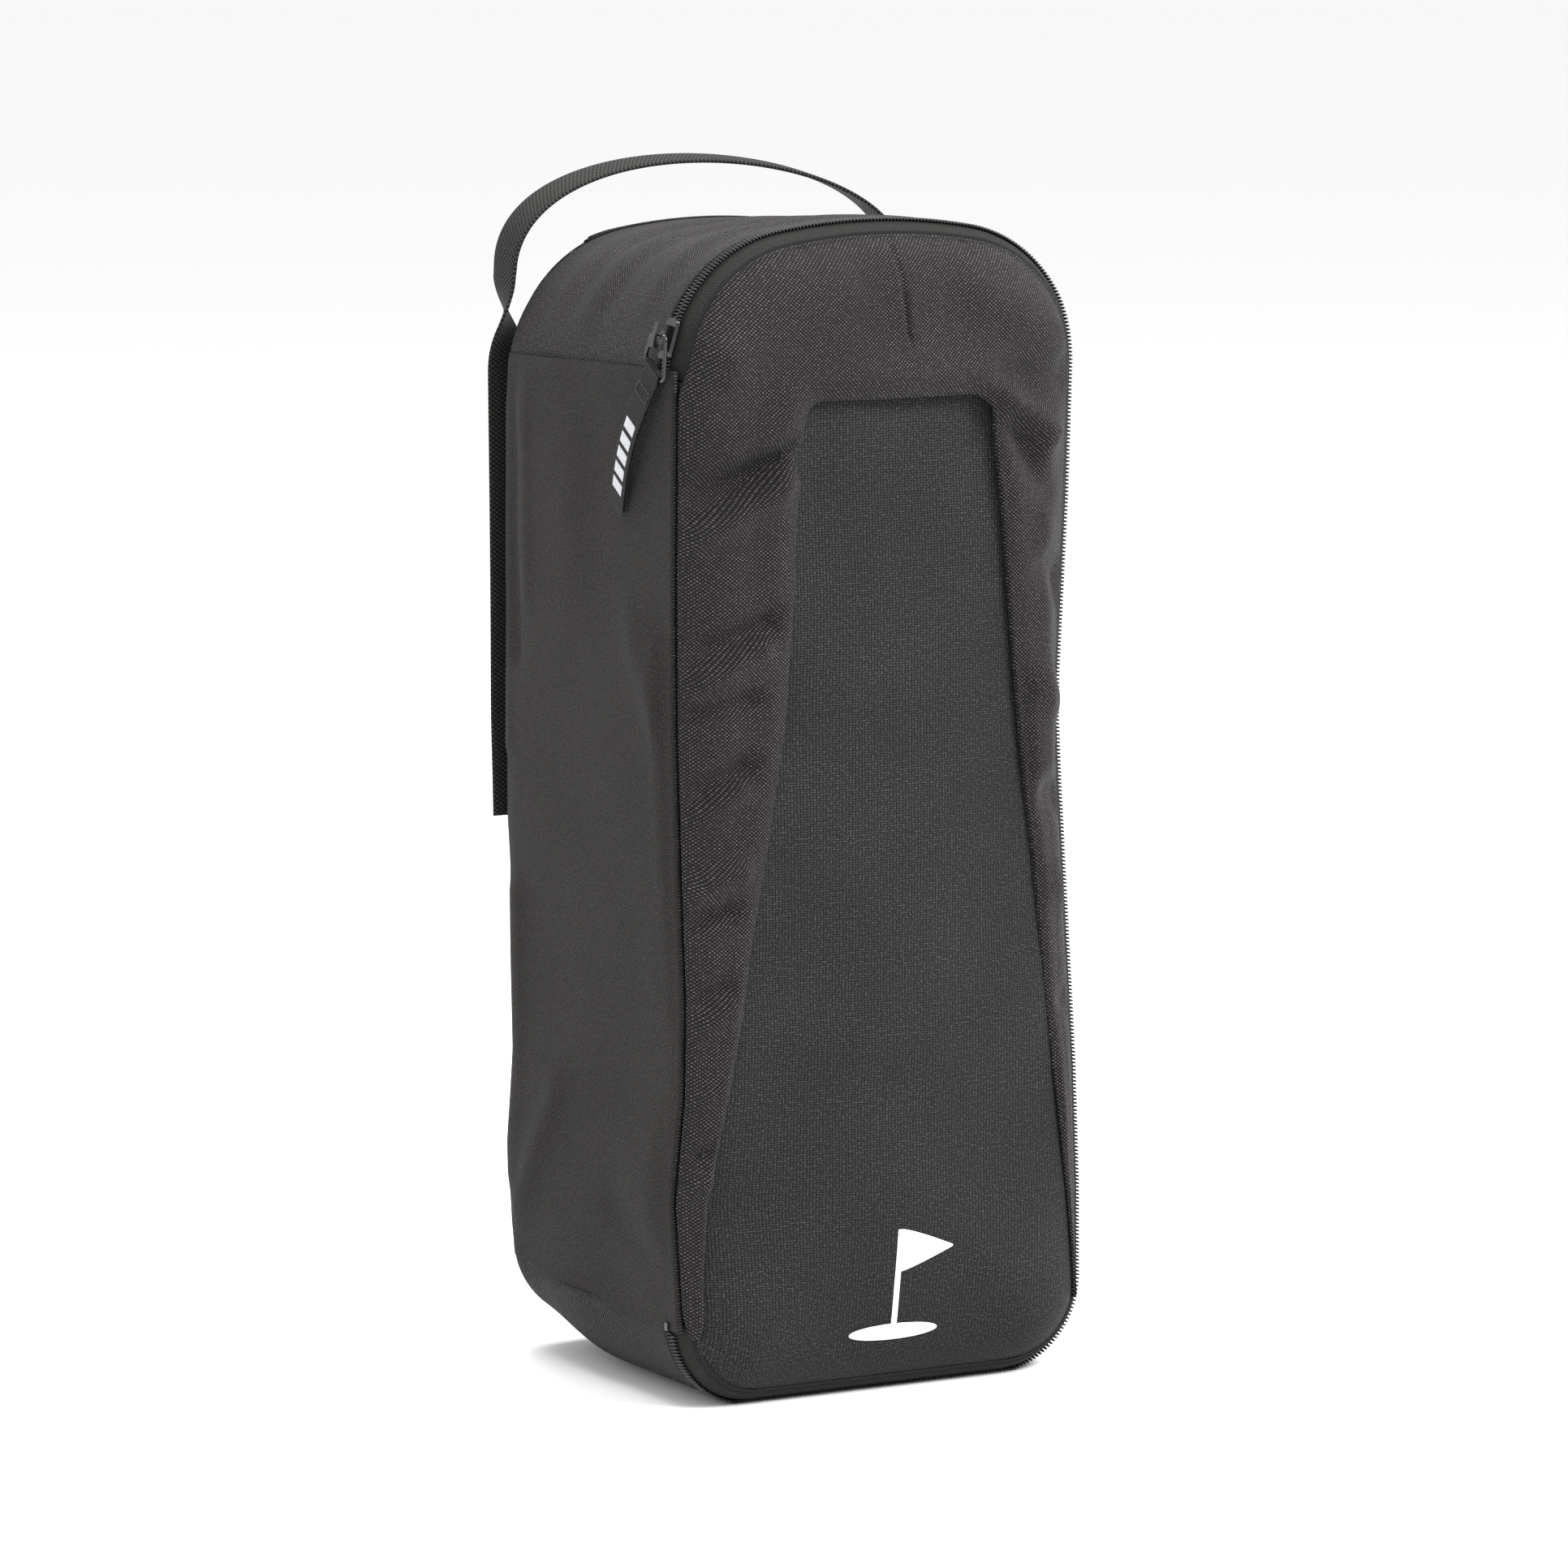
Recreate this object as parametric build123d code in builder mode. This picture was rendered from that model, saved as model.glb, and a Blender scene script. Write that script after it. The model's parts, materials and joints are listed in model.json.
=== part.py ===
from build123d import *
from math import asin, cos, degrees, radians, sin
import os

# Golf shoe bag: a soft upright bag whose front is a door that unzips on three sides.
# Millimetres, +Z up. The origin is the middle of the flat base and the front faces -Y.

# Bag body
width = 146.0
depth = 115.0  # from the front seam to the back seam
height = 372.0  # base to the top of the crown
top_radius = 46.0
crown_radius = 200.0
bottom_radius = 28.0
fabric = 1.5  # outer cloth with its backing
lining = 0.8
layer_gap = 0.2
seam_gap = 0.1

# Door in the front
door_bulge = 12.0  # how far it stands forward of its seam
door_slope = 20.0  # width of the sloping border round it
inset_side = [(33, 319), (41, 250), (48, 200), (57, 137), (63, 70), (66, 30), (66, -5)]

# Zip fastener, which runs round the bag from one end of the hinge panel to the other
hinge_low = 28.0
hinge_high = 325.0
chain_top = 0.3  # depth of the coils below the outline
coil_height = 1.3
coil_width = 1.9
chain_gap = 0.25  # between the two coils
tape_thickness = 0.6
tape_width = 10.0
slider_gap = 0.3
stop_length = 2.5
seam_allowance = 2.2
binding_thickness = 2.5

# Carry handle, sewn flat to the back panel, with its arch turned edge-on
webbing_width = 15.0
webbing = 1.6
leg_x = 67.0
leg_low = 175.0
leg_high = 328.5
handle_hinge_z = 330.0
riser_low = 331.0
riser_high = 352.0
arch_base_z = 345.0
arch_half_span = 71.0
arch_rise = 40.0

# Slider and its pull
slider_angle = 17.0  # above level, on the corner arc
slider_length = 13.0
slider_front = 3.6
plate = 1.2
flange = 0.9
bridge_length = 8.0
bridge_width = 2.2
bridge_height = 4.8
ring_wire = 0.7  # radius
ring_height = 4.1  # axis above the plate's underside
ring_half_width = 4.6
ring_drop = 11.0
ring_shift = 3.0  # middle of the lower bar behind the middle of the upper one
bar_half = 7.25  # half the lower bar
ribbon_width = 10.5
ribbon = 0.6  # one layer
ribbon_length = 52.0
ribbon_lean = 32.0  # degrees, backwards from plumb
eye_clearance = 0.2

# Places worked out from the sizes above
front_y = -depth / 2
back_y = depth / 2
door_y = front_y - layer_gap
corner_x = width / 2 - top_radius
crown_angle = degrees(asin(corner_x / (crown_radius - top_radius)))
crown_z = height - crown_radius
corner_z = crown_z + (crown_radius - top_radius) * cos(radians(crown_angle))
base_x = width / 2 - bottom_radius
coil_low = chain_top + coil_height
tape_low = coil_low + tape_thickness
front_coil_y = front_y + 4.3
front_coil_back = front_coil_y + coil_width
rear_coil_y = front_coil_back + chain_gap
rear_coil_back = rear_coil_y + coil_width
chain_y = front_coil_back + chain_gap / 2
gusset_y = rear_coil_back + slider_gap + flange + slider_gap
back_inner_y = back_y - fabric - seam_gap
back_skin_y = back_y + fabric
webbing_y = back_skin_y + seam_gap
handle_y = webbing_y + slider_gap + webbing / 2 + seam_gap


def front_plane(y):
    """Upright plane at y that faces forward, with its own x to the right and its own y up."""
    return Plane(origin=(0, y, 0), x_dir=(1, 0, 0), z_dir=(0, -1, 0))


def bag_outline(inset):
    """The bag's front view, drawn in by inset on every side."""
    half = width / 2 - inset
    with BuildSketch() as outline:
        with BuildLine():
            Line((0, inset), (base_x, inset))
            CenterArc((base_x, bottom_radius), bottom_radius - inset, -90, 90)
            Line((half, bottom_radius), (half, corner_z))
            CenterArc((corner_x, corner_z), top_radius - inset, 0, 90 - crown_angle)
            CenterArc((0, crown_z), crown_radius - inset, 90 - crown_angle, crown_angle)
            mirror(about=Plane.YZ)
        make_face()
    return outline.sketch


def band(outer, inner, y_front, y_back, end_gap=None):
    """Strip that follows the outline between two insets. With end_gap it stops short of the hinge panel."""
    with BuildPart() as strip:
        with BuildSketch(front_plane(y_front)):
            add(bag_outline(outer))
            add(bag_outline(inner), mode=Mode.SUBTRACT)
        extrude(amount=y_front - y_back)
        if end_gap is not None:
            with Locations((-width / 2, 0, (hinge_low + hinge_high) / 2)):
                Box(30, 2 * depth, hinge_high - hinge_low + 2 * end_gap, mode=Mode.SUBTRACT)
    return strip.part


def dome(inset):
    """Solid under a door skin that lies inset below the door's outside."""
    with BuildPart() as solid:
        with BuildSketch(front_plane(door_y)):
            add(bag_outline(inset))
        with BuildSketch(front_plane(door_y - door_bulge + inset)):
            add(bag_outline(door_slope))
        loft(ruled=True)
    return solid.part


def inset_outline(shrink):
    """The door's centre panel: narrow at the top, widening to the bottom corners."""
    with BuildSketch() as outline:
        with BuildLine():
            Line((0, inset_side[0][1]), inset_side[0])
            Polyline(*inset_side)
            Line(inset_side[-1], (0, inset_side[-1][1]))
            mirror(about=Plane.YZ)
        make_face()
        if shrink > 0:
            offset(amount=-shrink, kind=Kind.INTERSECTION, mode=Mode.REPLACE)
    return outline.sketch


def chain_frame(angle):
    """Plane on the outline's top left corner arc: x up along the chain, y back, z outward."""
    outward = Vector(-cos(radians(angle)), 0, sin(radians(angle)))
    along = Vector(sin(radians(angle)), 0, cos(radians(angle)))
    centre = Vector(-corner_x, chain_y, corner_z)
    return Plane(origin=centre + outward * top_radius, x_dir=along, z_dir=outward)


# ---------------------------------------------------------------- bag body
with BuildPart() as back_panel:
    with BuildSketch(front_plane(back_y)):
        add(bag_outline(0))
    extrude(amount=-fabric)

with BuildPart() as back_lining:
    with BuildSketch(front_plane(back_inner_y)):
        add(bag_outline(fabric + lining + 2 * layer_gap))
    extrude(amount=lining)

with BuildPart() as zip_gusset:
    add(band(0, fabric, gusset_y, back_y - seam_gap, seam_gap))

with BuildPart() as zip_gusset_lining:
    lining_outer = tape_low + layer_gap
    add(band(lining_outer, lining_outer + lining, gusset_y, back_inner_y - lining - seam_gap, seam_gap))

with BuildPart() as hinge_gusset:
    with BuildSketch(Plane.XY.offset(hinge_low)):
        with Locations((-width / 2, front_y + layer_gap)):
            Rectangle(fabric, depth - layer_gap - seam_gap, align=(Align.MIN, Align.MIN))
    extrude(amount=hinge_high - hinge_low)

with BuildPart() as hinge_gusset_lining:
    with BuildSketch(Plane.XY.offset(hinge_low)):
        with Locations((-width / 2 + fabric + layer_gap, front_y + layer_gap)):
            lining_depth = back_inner_y - lining - seam_gap - front_y - layer_gap
            Rectangle(lining, lining_depth, align=(Align.MIN, Align.MIN))
    extrude(amount=hinge_high - hinge_low)

with BuildPart() as back_seam_binding:
    binding_outer = tape_low + lining + 2 * layer_gap
    binding_y = back_inner_y - lining - seam_gap
    add(band(binding_outer, binding_outer + binding_thickness, binding_y - seam_allowance, binding_y))

# ---------------------------------------------------------------- zip, bag side
with BuildPart() as zip_tape_rear:
    add(band(coil_low, tape_low, rear_coil_y, rear_coil_y + tape_width, seam_gap))

with BuildPart() as zip_coil_rear:
    add(band(chain_top, coil_low, rear_coil_y, rear_coil_back, 2 * seam_gap + stop_length))

with BuildPart() as zip_end_stops:
    with BuildSketch(Plane.YZ.offset(-width / 2 + chain_top)):
        stop_middle = (rear_coil_y + rear_coil_back) / 2
        for stop_z in (hinge_low - stop_length - seam_gap, hinge_high + seam_gap):
            with Locations((stop_middle, stop_z)):
                Rectangle(coil_width, stop_length, align=(Align.CENTER, Align.MIN))
    extrude(amount=coil_height)

# ---------------------------------------------------------------- handle legs
legs = {}
for side, sign in (("left", -1), ("right", 1)):
    with BuildPart() as leg:
        with BuildSketch(Plane.XY.offset(leg_low)):
            with Locations((sign * leg_x, webbing_y)):
                Rectangle(webbing_width, webbing, align=(Align.CENTER, Align.MIN))
        extrude(amount=leg_high - leg_low)
    legs[side] = leg

with BuildPart() as handle_bartacks:
    tack_margin = 9.0
    tack_height = 10.0
    tack_middles = (leg_low + tack_margin, leg_high - tack_margin)
    with BuildSketch(front_plane(webbing_y + webbing + seam_gap)):
        with Locations([(sign * leg_x, z) for sign in (-1, 1) for z in tack_middles]):
            Rectangle(webbing_width - 3, tack_height)
    extrude(amount=-0.4)

# ---------------------------------------------------------------- door
with BuildPart() as front_frame_panel:
    add(dome(0))
    add(dome(fabric), mode=Mode.SUBTRACT)
    with BuildSketch(front_plane(door_y + 1)):
        add(inset_outline(0))
    extrude(amount=2 * door_bulge, mode=Mode.SUBTRACT)

with BuildPart() as front_inset_panel:
    add(dome(0))
    add(dome(fabric), mode=Mode.SUBTRACT)
    with BuildSketch(front_plane(door_y + 1)):
        add(inset_outline(seam_gap))
    extrude(amount=2 * door_bulge, mode=Mode.INTERSECT)

with BuildPart() as front_lining:
    add(dome(fabric + layer_gap))
    add(dome(fabric + layer_gap + lining), mode=Mode.SUBTRACT)

with BuildPart() as front_seam_binding:
    binding_inset = 3.0
    binding_front = door_y + seam_gap
    add(band(binding_inset, binding_inset + binding_thickness, binding_front, binding_front + seam_allowance))

with BuildPart() as zip_tape_front:
    add(band(coil_low, tape_low, door_y + seam_gap, front_coil_y, 2 * seam_gap))

with BuildPart() as zip_coil_front:
    add(band(chain_top, coil_low, front_coil_y, front_coil_back, 2 * seam_gap + stop_length))

# Flag on a pole over a putting green, printed on the centre panel
with BuildPart() as emblem_print:
    emblem_x = 0.0
    green_z = 21.0
    pole_height = 32.0
    with BuildSketch(front_plane(door_y - door_bulge - 0.05)):
        with Locations((emblem_x, green_z)):
            SlotOverall(26, 3)
            Rectangle(1.8, pole_height, align=(Align.CENTER, Align.MIN))
        with BuildLine():
            pole_top = green_z + pole_height
            Polyline((emblem_x, pole_top), (emblem_x + 17, pole_top - 6.5), (emblem_x, pole_top - 13), close=True)
        make_face()
    extrude(amount=0.3)

# ---------------------------------------------------------------- handle arch
with BuildPart() as handle_arch:
    with BuildSketch(front_plane(handle_y - webbing_width / 2)):
        with Locations((0, arch_base_z)):
            Ellipse(arch_half_span + webbing / 2, arch_rise + webbing / 2)
            Ellipse(arch_half_span - webbing / 2, arch_rise - webbing / 2, mode=Mode.SUBTRACT)
            Rectangle(width * 2, height, align=(Align.CENTER, Align.MAX), mode=Mode.SUBTRACT)
    extrude(amount=-webbing_width)
    with BuildSketch(Plane.XY.offset(riser_low)):
        with Locations((-leg_x, handle_y), (leg_x, handle_y)):
            Rectangle(webbing_width, webbing)
    extrude(amount=riser_high - riser_low)

# ---------------------------------------------------------------- slider
# It rides on the bag's coil and leaves the door's coil free to swing away under its plate
slider_plane = chain_frame(slider_angle)
flange_y = rear_coil_back + slider_gap - chain_y
plate_width = slider_front + flange_y + flange
with BuildPart() as slider_body:
    with BuildSketch(slider_plane):
        with Locations((0, plate_width / 2 - slider_front)):
            RectangleRounded(slider_length, plate_width, 1.8)
    extrude(amount=plate)
    with BuildSketch(slider_plane):
        with Locations((0, flange_y)):
            Rectangle(slider_length - 4, flange, align=(Align.CENTER, Align.MIN))
    extrude(amount=-coil_height)

# The bridge is a low arch along the slider, and the ring's bar passes under it
bridge_plane = Plane(origin=slider_plane.origin, x_dir=slider_plane.x_dir, z_dir=-slider_plane.y_dir)
with BuildPart() as slider_bridge:
    with BuildSketch(bridge_plane):
        with Locations((0, plate)):
            Rectangle(bridge_length, bridge_height, align=(Align.CENTER, Align.MIN))
        with Locations((0, ring_height)):
            SlotOverall(bridge_length - 3, 2 * (ring_wire + slider_gap), mode=Mode.SUBTRACT)
    extrude(amount=bridge_width / 2, both=True)

# ---------------------------------------------------------------- ring and ribbon pull
# The ring hangs in a plane beside the hinge panel. Its lower bar leans, and the ribbon hangs square to that bar
ring_centre = slider_plane.origin + slider_plane.z_dir * ring_height
ring_plane = Plane(origin=ring_centre, x_dir=(0, 1, 0), z_dir=(-1, 0, 0))
across = Vector(0, cos(radians(ribbon_lean)), sin(radians(ribbon_lean)))
down = Vector(0, sin(radians(ribbon_lean)), -cos(radians(ribbon_lean)))
bar_centre = ring_centre + Vector(0, ring_shift, -ring_drop)
bar_y = bar_half * cos(radians(ribbon_lean))
bar_z = bar_half * sin(radians(ribbon_lean))
with BuildPart() as pull_ring:
    with BuildLine(ring_plane) as ring_path:
        FilletPolyline(
            (ring_half_width, 0),
            (ring_shift + bar_y, ring_drop - bar_z),
            (ring_shift - bar_y, ring_drop + bar_z),
            (-ring_half_width, 0),
            radius=1.5,
            close=True,
        )
    with BuildSketch(Plane(origin=ring_path.line @ 0, z_dir=ring_path.line % 0)):
        Circle(ring_wire)
    sweep(path=ring_path.line)

with BuildPart() as pull_tab:
    eye = ring_wire + eye_clearance
    with BuildSketch(Plane(origin=bar_centre, x_dir=down, z_dir=across)):
        Circle(eye + ribbon)
        with Locations((eye + ribbon / 2, 0)):
            Rectangle(ribbon_length, 2 * ribbon, align=(Align.MIN, Align.CENTER))
        Circle(eye, mode=Mode.SUBTRACT)
    extrude(amount=ribbon_width / 2, both=True)

tab_face = Plane(origin=bar_centre + Vector(-ribbon - 0.05, 0, 0), x_dir=across, z_dir=(-1, 0, 0))
with BuildPart() as pull_tab_stitches:
    with BuildSketch(tab_face):
        with Locations((0, 8)):
            Rectangle(ribbon_width - 2.5, 4)
            Rectangle(ribbon_width - 4, 2.5, mode=Mode.SUBTRACT)
    extrude(amount=0.3)

with BuildPart() as pull_tab_mark:
    with BuildSketch(tab_face):
        with Locations((0, 21), (0, 28), (0, 35), (0, 42)):
            Rectangle(ribbon_width - 4, 3.5)
    extrude(amount=0.2)

# ---------------------------------------------------------------- files
pieces = {
    "back_panel": back_panel,
    "back_lining": back_lining,
    "zip_gusset": zip_gusset,
    "zip_gusset_lining": zip_gusset_lining,
    "hinge_gusset": hinge_gusset,
    "hinge_gusset_lining": hinge_gusset_lining,
    "back_seam_binding": back_seam_binding,
    "zip_tape_rear": zip_tape_rear,
    "zip_coil_rear": zip_coil_rear,
    "zip_end_stops": zip_end_stops,
    "handle_leg_left": legs["left"],
    "handle_leg_right": legs["right"],
    "handle_bartacks": handle_bartacks,
    "front_frame_panel": front_frame_panel,
    "front_inset_panel": front_inset_panel,
    "front_lining": front_lining,
    "front_seam_binding": front_seam_binding,
    "zip_tape_front": zip_tape_front,
    "zip_coil_front": zip_coil_front,
    "emblem_print": emblem_print,
    "handle_arch": handle_arch,
    "slider_body": slider_body,
    "slider_bridge": slider_bridge,
    "pull_ring": pull_ring,
    "pull_tab": pull_tab,
    "pull_tab_stitches": pull_tab_stitches,
    "pull_tab_mark": pull_tab_mark,
}
os.makedirs("parts", exist_ok=True)
for name, piece in pieces.items():
    piece.part.label = name
    export_step(piece.part, f"parts/{name}.step")

places = {
    "slider arc centre": Vector(-corner_x, chain_y, corner_z),
    "ring hinge": ring_centre,
    "tab hinge": bar_centre,
    "tab hinge axis": across,
    "handle hinge": Vector(0, handle_y, handle_hinge_z),
}
for name, place in places.items():
    print(name, [round(value, 4) for value in place])
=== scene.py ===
import json
import math

import bpy
import numpy as np
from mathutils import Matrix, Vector, noise


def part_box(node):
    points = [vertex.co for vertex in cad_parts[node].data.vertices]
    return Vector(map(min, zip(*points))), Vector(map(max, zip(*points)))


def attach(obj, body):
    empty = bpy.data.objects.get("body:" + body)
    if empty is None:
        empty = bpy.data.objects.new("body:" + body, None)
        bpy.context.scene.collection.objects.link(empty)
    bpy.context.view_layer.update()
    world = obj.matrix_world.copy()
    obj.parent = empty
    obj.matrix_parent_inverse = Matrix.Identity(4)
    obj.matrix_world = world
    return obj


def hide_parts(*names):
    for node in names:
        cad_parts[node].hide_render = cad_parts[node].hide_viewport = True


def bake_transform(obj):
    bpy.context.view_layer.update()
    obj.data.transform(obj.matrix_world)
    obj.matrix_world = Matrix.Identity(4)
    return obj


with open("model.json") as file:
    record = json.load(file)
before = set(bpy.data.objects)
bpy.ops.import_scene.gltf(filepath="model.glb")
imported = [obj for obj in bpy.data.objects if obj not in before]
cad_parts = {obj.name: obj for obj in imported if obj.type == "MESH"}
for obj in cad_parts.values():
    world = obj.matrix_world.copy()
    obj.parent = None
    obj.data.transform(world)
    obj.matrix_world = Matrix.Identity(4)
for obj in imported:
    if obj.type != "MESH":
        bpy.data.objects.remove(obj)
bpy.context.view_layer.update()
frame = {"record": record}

# Lengths below are in millimetres and become metres when a mesh is made.
MM = 0.001
low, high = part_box("back_panel")
HALF = high[0] / MM
HEIGHT = high[2] / MM
BACK_Y = low[1] / MM
FRONT_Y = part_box("front_frame_panel")[1][1] / MM
DOOR_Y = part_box("front_frame_panel")[0][1] / MM
BULGE = FRONT_Y - DOOR_Y
HINGE_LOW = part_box("hinge_gusset")[0][2] / MM
HINGE_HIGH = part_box("hinge_gusset")[1][2] / MM
GUSSET_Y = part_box("zip_gusset")[0][1] / MM
CHAIN_Y = (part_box("zip_coil_front")[1][1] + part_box("zip_coil_rear")[0][1]) / 2 / MM
TOP_R, CROWN_R, BOTTOM_R = 46.0, 200.0, 28.0
CORNER_X = HALF - TOP_R
CROWN_A = math.asin(CORNER_X / (CROWN_R - TOP_R))
CROWN_Z = HEIGHT - CROWN_R
CORNER_Z = CROWN_Z + (CROWN_R - TOP_R) * math.cos(CROWN_A)
BASE_X = HALF - BOTTOM_R
ZIP_SEAM, HINGE_SEAM = 4.4, 0.5  # how far inside the outline the door panel ends


# ---------------------------------------------------------------- shapes
def smooth(value, start, end):
    t = np.clip((np.asarray(value, float) - start) / (end - start), 0, 1)
    return t * t * (3 - 2 * t)


def arc(cx, cz, radius, start, end, step):
    count = max(3, int(abs(end - start) * radius / step))
    a = np.linspace(start, end, count, endpoint=False)
    return np.stack([cx + radius * np.cos(a), cz + radius * np.sin(a), np.cos(a), np.sin(a)], 1)


def run(x0, z0, x1, z1, nx, nz, step):
    count = max(3, int(math.hypot(x1 - x0, z1 - z0) / step))
    t = np.linspace(0, 1, count, endpoint=False)
    ones = np.ones(count)
    return np.stack([x0 + (x1 - x0) * t, z0 + (z1 - z0) * t, nx * ones, nz * ones], 1)


def zip_path(inset=0.0, step=1.6):
    """Clockwise from the top of the hinge panel to its bottom: x, z, outward normal x and z."""
    side = HALF - inset
    half_pi = math.pi / 2
    return np.concatenate([
        arc(-CORNER_X, CORNER_Z, TOP_R - inset, math.pi, half_pi + CROWN_A, step),
        arc(0, CROWN_Z, CROWN_R - inset, half_pi + CROWN_A, half_pi - CROWN_A, step),
        arc(CORNER_X, CORNER_Z, TOP_R - inset, half_pi - CROWN_A, 0, step),
        run(side, CORNER_Z, side, BOTTOM_R, 1, 0, step),
        arc(BASE_X, BOTTOM_R, BOTTOM_R - inset, 0, -half_pi, step),
        run(BASE_X, inset, -BASE_X, inset, 0, -1, step),
        arc(-BASE_X, BOTTOM_R, BOTTOM_R - inset, -half_pi, -math.pi, step),
        np.array([[-side, BOTTOM_R, -1, 0]]),
    ])


def full_path(inset=0.0, step=1.6):
    side = HALF - inset
    return np.concatenate([zip_path(inset, step)[:-1], run(-side, BOTTOM_R, -side, CORNER_Z, -1, 0, step)])


def lengths(points):
    steps = np.linalg.norm(np.diff(points, axis=0), axis=1)
    return np.concatenate([[0], np.cumsum(steps)])


def edge_distance(x, z):
    """How far inside the outline a point lies."""
    ax = np.abs(x)
    d = np.minimum(HALF - ax, z)
    d = np.minimum(d, CROWN_R - np.hypot(x, z - CROWN_Z))
    top = (ax > CORNER_X) & (z > CORNER_Z)
    d = np.where(top, np.minimum(d, TOP_R - np.hypot(ax - CORNER_X, z - CORNER_Z)), d)
    low_corner = (ax > BASE_X) & (z < BOTTOM_R)
    return np.where(low_corner, BOTTOM_R - np.hypot(ax - BASE_X, z - BOTTOM_R), d)


def seam_at(x, z):
    """The door panel's inset at a point: the zip's tape shows beyond it, and on the hinge side nothing does."""
    hinge_side = smooth(-x, 40, 60) * smooth(z, 14, 34) * smooth(-z, -332, -318)
    return ZIP_SEAM - (ZIP_SEAM - HINGE_SEAM) * hinge_side


def door_path(step):
    """The door panel's outer edge."""
    path = full_path(0.0, step)
    inset = seam_at(path[:, 0], path[:, 1])
    return path[:, :2] - path[:, 2:] * inset[:, None]


LEFT_SEAM = ([0, 28, 67, 82, 100, 130, 170, 215, 260, 318, 334], [1.5, 1.5, -1, 0.4, 2.3, 2.8, 1.3, 0, -0.2, 0.4, 0])
LEFT_BACK = ([0, 40, 70, 100, 150, 176, 325, 345], [-0.5, -2, -2.4, -0.4, -1.2, -2.6, -1.8, 0])
RIGHT_SEAM = ([0, 30, 60, 100, 125, 145, 165, 190, 210, 225, 285, 330, 345], [2.6, 3.4, 3.2, 1.6, 0, -1.3, -2.6, -4.2, -5.2, -5.2, -2.2, -0.9, 0])


def warp(p):
    """The bag's slump: its sides wander, its back top droops and its back bottom edge lifts."""
    p = np.array(p, float)
    x, y, z = p[..., 0], p[..., 1], p[..., 2]
    back = smooth(y, -50, 50)
    left = np.interp(z, *LEFT_SEAM) * (1 - back) + np.interp(z, *LEFT_BACK) * back
    right = np.interp(z, *RIGHT_SEAM)
    dx = left * smooth(-x, 20, 73) + right * smooth(x, 20, 73)
    droop = 5.0 * smooth(y, -45, 57) * smooth(z, 300, 370)
    lift = 9.0 * smooth(y, 10, 60) * (1 - smooth(z, 0, 70))
    p[..., 0] = x + dx
    p[..., 2] = z - droop + lift
    return p


def wander(p, scale, seed):
    """Smooth noise from -1 to 1 at each point, with features of about scale millimetres."""
    flat = np.asarray(p, float).reshape(-1, 3) / scale + seed * 7.3
    values = np.array([noise.noise(Vector(q)) for q in flat])
    return values.reshape(np.asarray(p).shape[:-1])


def crease(x, z, folds):
    """Sum of folds, each from one point to another with a width and a height."""
    total = np.zeros_like(x, dtype=float)
    for x0, z0, x1, z1, width, tall in folds:
        dx, dz = x1 - x0, z1 - z0
        span = dx * dx + dz * dz
        t = np.clip(((x - x0) * dx + (z - z0) * dz) / span, 0, 1)
        off = np.hypot(x - x0 - t * dx, z - z0 - t * dz)
        total += tall * np.exp(-(off / width) ** 2)
    return total


# Folds of the door's border and of its centre panel, as x, z, x, z, width, height
DOOR_FOLDS = [
    (-40, 302, -74, 283, 5.0, -3.4), (-42, 292, -70, 276, 5.0, 2.2), (-38, 309, -60, 305, 7.0, 1.2),
    (-46, 250, -74, 236, 4.5, -2.0), (-50, 241, -74, 228, 4.0, 1.6), (-52, 226, -74, 221, 3.0, -1.3),
    (-54, 205, -74, 192, 4.0, -1.6), (-57, 197, -74, 186, 3.5, 1.3), (-58, 172, -74, 166, 4.0, 2.2),
    (-60, 160, -74, 156, 3.2, -1.6), (-62, 136, -74, 128, 3.2, -1.3), (-62, 128, -74, 120, 3.2, 1.2),
    (-64, 103, -74, 98, 3.0, 1.1), (-66, 84, -74, 78, 2.6, -1.0), (-66, 75, -74, 70, 2.6, 1.0),
    (36, 316, 56, 305, 5.0, 2.4), (38, 322, 64, 322, 6.0, -1.4), (40, 308, 54, 286, 5.0, -1.6), (52, 300, 58, 200, 7.0, 1.8),
    (56, 262, 72, 250, 6.0, -1.6), (54, 226, 72, 214, 6.0, 1.4), (60, 190, 74, 180, 5.0, -1.2),
    (62, 160, 74, 150, 5.0, 1.0), (64, 122, 74, 112, 4.0, -0.9), (30, 350, 62, 334, 8.0, 1.2),
    (-20, 352, -58, 330, 9.0, 1.0), (-60, 332, -73, 300, 6.0, 1.0),
]
TOP_FOLDS = [  # of the zip gusset's top, as y, slope, width, height
    (-34, 0.06, 4.5, -1.4), (-24, 0.05, 5, 1.0), (-6, -0.05, 5, -1.3),
    (6, -0.04, 6, 1.1), (24, 0.05, 5, -1.2), (36, 0.04, 6, 0.8),
]
CENTRE_FOLDS = [
    (-50, 140, -20, 128, 12.0, -1.0), (-40, 118, 10, 112, 12.0, 0.8),
    (-60, 66, -30, 60, 9.0, -0.7), (10, 60, 44, 52, 12.0, 0.6),
]
SIDE_FOLDS = [  # of the hinge panel, as y, z, y, z, width, height
    (54, 322, 50, 200, 3.0, 1.1), (46, 322, 43, 230, 3.5, -0.8), (38, 322, 36, 250, 4.0, 0.5),
    (50, 150, 54, 60, 7.0, 1.4), (-40, 300, -52, 250, 7.0, -1.0), (-30, 250, -50, 215, 6.0, 0.8),
    (20, 90, 50, 34, 6.0, 0.9), (-48, 240, -54, 90, 4.0, 0.8), (-20, 60, -52, 40, 8.0, -0.7),
]
INSET_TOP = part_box("front_inset_panel")[1][2] / MM
INSET_LEFT = ([22, 43, 70, 100, 137, 175, 215, 250, 300, 320], [68.2, 67.5, 65, 61.5, 56, 49, 42.5, 40, 38, 35.5])
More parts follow.
